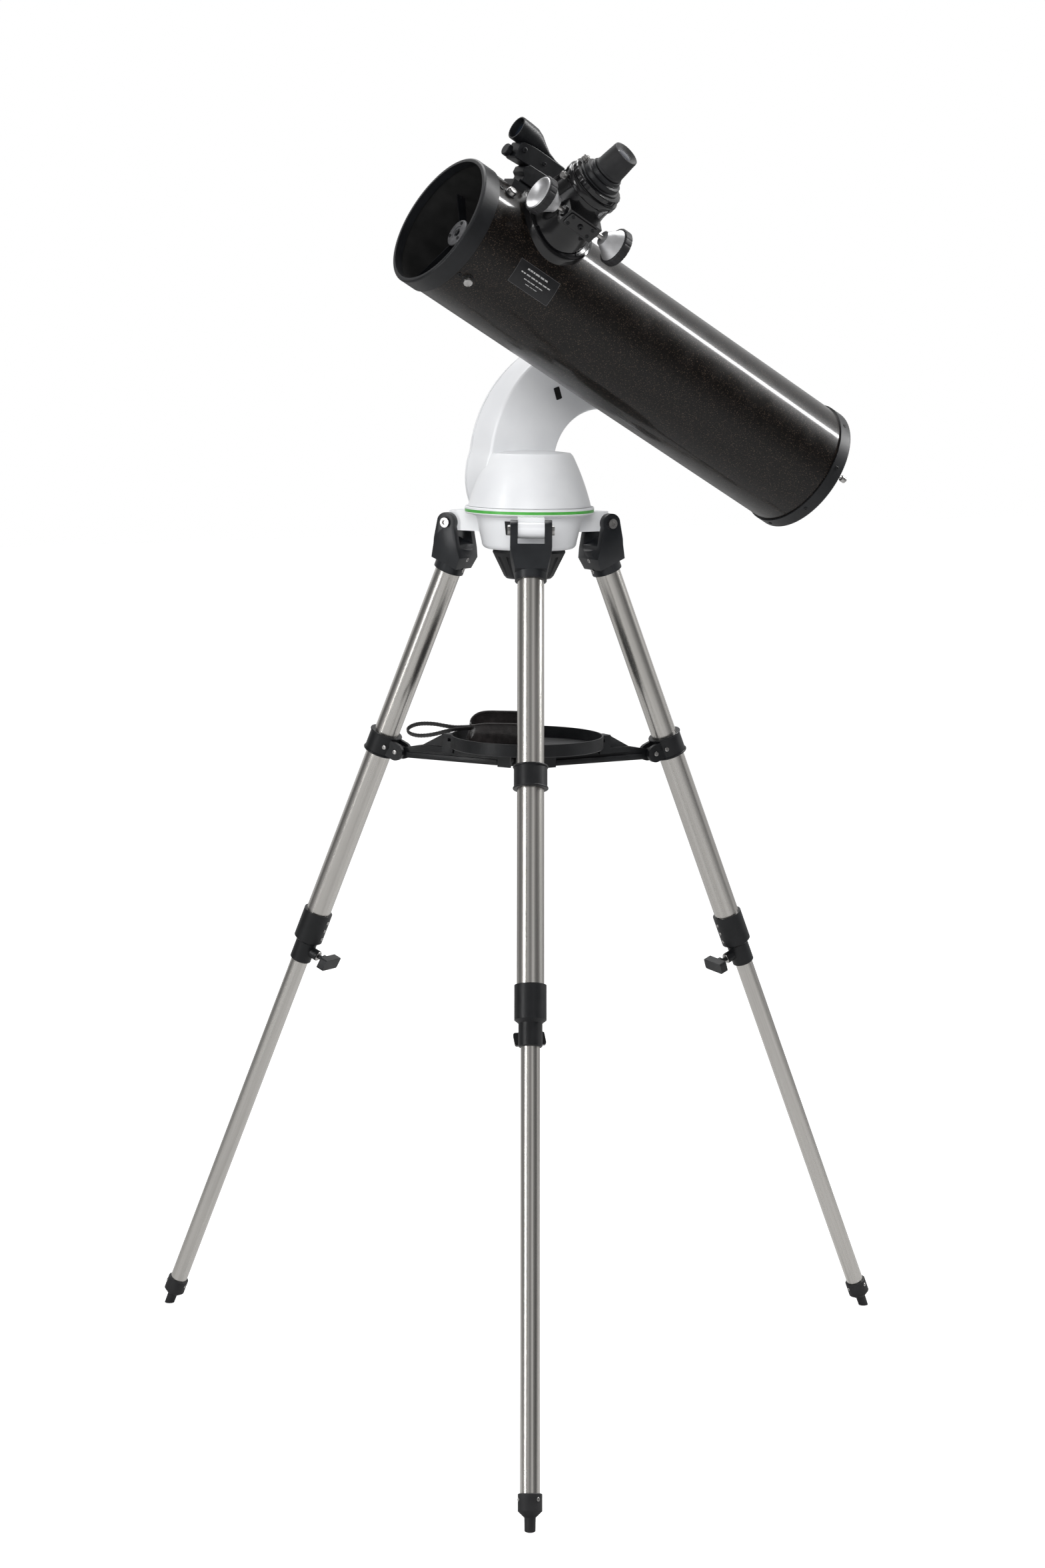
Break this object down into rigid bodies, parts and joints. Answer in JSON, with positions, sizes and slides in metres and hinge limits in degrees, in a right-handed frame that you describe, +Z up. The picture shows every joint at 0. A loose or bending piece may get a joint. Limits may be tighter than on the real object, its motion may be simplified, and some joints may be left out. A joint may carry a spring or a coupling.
{
  "type": "reflector telescope",
  "caption": "Newtonian reflector telescope on a single-arm motorised altitude-azimuth mount and a folding steel tripod with tray.",
  "frame": {"origin": "on the floor, under the azimuth axis", "axes": "+Z up along the azimuth axis, +X level towards the mirror end of the tube, +Y from the tube towards the arm; one leg points along +X"},
  "size_m": [0.8449, 0.97, 1.5751],
  "materials": {
    "bare_aluminium": "anodised",
    "bare_chrome": "polished",
    "bare_steel": "turned",
    "black_metal": "satin",
    "black_plastic": "fine grain",
    "black_rubber": "matte",
    "black_steel": "gloss black enamel",
    "green_stripe": "semi gloss",
    "mirror_glass": "aluminised",
    "pouch_leather": "soft grain",
    "white_plastic": "semi gloss"
  },
  "bodies": {
    "base": {"base_bowl": "white_plastic", "stripe_ring": "green_stripe", "azimuth_post": "bare_steel", "hinge_pins": "bare_steel"},
    "mount_knob_body": {"mount_knob": "black_plastic"},
    "leg_1": {"fork_1": "black_plastic", "upper_tube_1": "bare_chrome", "collar_1": "black_plastic", "spreader_band_1": "black_plastic"},
    "extension_1": {"lower_tube_1": "bare_chrome", "foot_1": "black_rubber"},
    "lock_1": {"lock_knob_1": "black_plastic"},
    "spreader_1": {"spreader_arm_1": "black_plastic"},
    "leg_2": {"fork_2": "black_plastic", "upper_tube_2": "bare_chrome", "collar_2": "black_plastic", "spreader_band_2": "black_plastic"},
    "extension_2": {"lower_tube_2": "bare_chrome", "foot_2": "black_rubber"},
    "lock_2": {"lock_knob_2": "black_plastic"},
    "spreader_2": {"spreader_arm_2": "black_plastic"},
    "leg_3": {"fork_3": "black_plastic", "upper_tube_3": "bare_chrome", "collar_3": "black_plastic", "spreader_band_3": "black_plastic"},
    "extension_3": {"lower_tube_3": "bare_chrome", "foot_3": "black_rubber"},
    "lock_3": {"lock_knob_3": "black_plastic"},
    "spreader_3": {"spreader_arm_3": "black_plastic"},
    "hub": {"spreader_hub": "black_plastic"},
    "tray_body": {"tray": "black_steel"},
    "pouch": {"battery_pouch": "pouch_leather", "pouch_strap": "pouch_leather"},
    "mount": {"dome": "white_plastic", "turntable": "bare_aluminium", "azimuth_motor": "black_metal", "arm_front": "white_plastic", "arm_back": "white_plastic", "altitude_motor": "black_metal"},
    "altitude_axle": {"altitude_shaft": "bare_steel", "saddle": "bare_aluminium"},
    "saddle_screw": {"saddle_knob": "black_plastic"},
    "tube_assembly": {"dovetail": "bare_aluminium", "tube": "black_steel", "front_ring": "black_plastic", "rear_ring": "black_plastic", "mirror_cell": "black_metal", "primary_mirror": "mirror_glass", "spider": "black_metal", "secondary_holder": "black_plastic", "secondary_mirror": "mirror_glass", "focuser_body": "black_metal", "finder_shoe": "black_metal", "finder": "black_plastic"},
    "collimator_1": {"collimation_knob_1": "bare_steel"},
    "collimator_2": {"collimation_knob_2": "bare_steel"},
    "collimator_3": {"collimation_knob_3": "bare_steel"},
    "draw": {"drawtube": "bare_chrome"},
    "focus_spindle": {"focus_knobs": "bare_aluminium"},
    "eyepiece_body": {"eyepiece": "black_rubber"}
  },
  "joints": [
    {"name": "azimuth", "type": "hinge", "parent": "base", "child": "mount", "pos_m": [0, 0, 1.12], "axis": [0, 0, 1], "continuous": true},
    {"name": "altitude", "type": "hinge", "parent": "mount", "child": "altitude_axle", "pos_m": [0.10802, -0.13598, 1.27709], "axis": [0, -1, 0], "range_deg": [-60.8, 34.2]},
    {"name": "tube_slide", "type": "slide", "parent": "altitude_axle", "child": "tube_assembly", "axis": [0.873, 0, -0.4877], "range_m": [-0.04, 0.04]},
    {"name": "saddle_screw_turn", "type": "hinge", "parent": "altitude_axle", "child": "saddle_screw", "pos_m": [0.08851, -0.04598, 1.24217], "axis": [-0.4877, 0, -0.873], "range_deg": [0, 180]},
    {"name": "mount_knob_turn", "type": "hinge", "parent": "base", "child": "mount_knob_body", "pos_m": [0, 0, 1.04], "axis": [0, 0, 1], "continuous": true},
    {"name": "leg_fold_1", "type": "hinge", "parent": "base", "child": "leg_1", "pos_m": [0.1059, 0, 1.0894], "axis": [0, 1, 0], "range_deg": [0, 12.5]},
    {"name": "leg_extend_1", "type": "slide", "parent": "leg_1", "child": "extension_1", "axis": [-0.391, 0, 0.9204], "range_m": [0, 0.4]},
    {"name": "leg_lock_turn_1", "type": "hinge", "parent": "leg_1", "child": "lock_1", "pos_m": [0.29506, 0, 0.50374], "axis": [-0.9204, 0, -0.391], "range_deg": [0, 180]},
    {"name": "spreader_turn_1", "type": "hinge", "parent": "leg_1", "child": "spreader_1", "pos_m": [0.1866, 0, 0.7918], "axis": [0, 1, 0], "range_deg": [0, 42.42]},
    {"name": "leg_fold_2", "type": "hinge", "parent": "base", "child": "leg_2", "pos_m": [-0.05295, 0.09171, 1.0894], "axis": [-0.866, -0.5, 0], "range_deg": [0, 12.5]},
    {"name": "leg_extend_2", "type": "slide", "parent": "leg_2", "child": "extension_2", "axis": [0.1955, -0.3386, 0.9204], "range_m": [0, 0.4]},
    {"name": "leg_lock_turn_2", "type": "hinge", "parent": "leg_2", "child": "lock_2", "pos_m": [-0.14753, 0.25553, 0.50374], "axis": [0.4602, -0.7971, -0.391], "range_deg": [0, 180]},
    {"name": "spreader_turn_2", "type": "hinge", "parent": "leg_2", "child": "spreader_2", "pos_m": [-0.0933, 0.1616, 0.7918], "axis": [-0.866, -0.5, 0], "range_deg": [0, 42.42]},
    {"name": "leg_fold_3", "type": "hinge", "parent": "base", "child": "leg_3", "pos_m": [-0.05295, -0.09171, 1.0894], "axis": [0.866, -0.5, 0], "range_deg": [0, 12.5]},
    {"name": "leg_extend_3", "type": "slide", "parent": "leg_3", "child": "extension_3", "axis": [0.1955, 0.3386, 0.9204], "range_m": [0, 0.4]},
    {"name": "leg_lock_turn_3", "type": "hinge", "parent": "leg_3", "child": "lock_3", "pos_m": [-0.14753, -0.25553, 0.50374], "axis": [0.4602, 0.7971, -0.391], "range_deg": [0, 180]},
    {"name": "spreader_turn_3", "type": "hinge", "parent": "leg_3", "child": "spreader_3", "pos_m": [-0.0933, -0.1616, 0.7918], "axis": [0.866, -0.5, 0], "range_deg": [0, 42.42]},
    {"name": "hub_lift", "type": "slide", "parent": "base", "child": "hub", "axis": [0, 0, 1], "range_m": [0, 0.1196]},
    {"name": "tray_lift", "type": "slide", "parent": "hub", "child": "tray_body", "axis": [0, 0, -1], "range_m": [-0.08, 0]},
    {"name": "pouch_lift", "type": "slide", "parent": "tray_body", "child": "pouch", "axis": [0, 0, -1], "range_m": [-0.08, 0]},
    {"name": "collimation_1", "type": "hinge", "parent": "tube_assembly", "child": "collimator_1", "pos_m": [0.34716, -0.13598, 1.20076], "axis": [0.873, 0, -0.4877], "range_deg": [-180, 180]},
    {"name": "collimation_2", "type": "hinge", "parent": "tube_assembly", "child": "collimator_2", "pos_m": [0.31058, -0.17928, 1.13529], "axis": [0.873, 0, -0.4877], "range_deg": [-180, 180]},
    {"name": "collimation_3", "type": "hinge", "parent": "tube_assembly", "child": "collimator_3", "pos_m": [0.31058, -0.09268, 1.13529], "axis": [0.873, 0, -0.4877], "range_deg": [-180, 180]},
    {"name": "focus_slide", "type": "slide", "parent": "tube_assembly", "child": "draw", "axis": [0.3567, -0.682, 0.6385], "range_m": [0, 0.03]},
    {"name": "focus_turn", "type": "hinge", "parent": "tube_assembly", "child": "focus_spindle", "pos_m": [-0.08463, -0.24357, 1.45305], "axis": [0.873, 0, -0.4877], "range_deg": [-220, 220]},
    {"name": "eyepiece_pull", "type": "slide", "parent": "draw", "child": "eyepiece_body", "axis": [0.3567, -0.682, 0.6385], "range_m": [0, 0.03]}
  ],
  "couplings": [
    {"joint": "spreader_turn_1", "follows": "leg_fold_1", "ratio": 3.3538},
    {"joint": "spreader_turn_2", "follows": "leg_fold_1", "ratio": 3.3538},
    {"joint": "leg_fold_2", "follows": "leg_fold_1", "ratio": 1},
    {"joint": "spreader_turn_3", "follows": "leg_fold_1", "ratio": 3.3538},
    {"joint": "leg_fold_3", "follows": "leg_fold_1", "ratio": 1},
    {"joint": "hub_lift", "follows": "leg_fold_1", "m_per_rad": 0.54354},
    {"joint": "focus_turn", "follows": "focus_slide", "rad_per_m": 125}
  ]
}
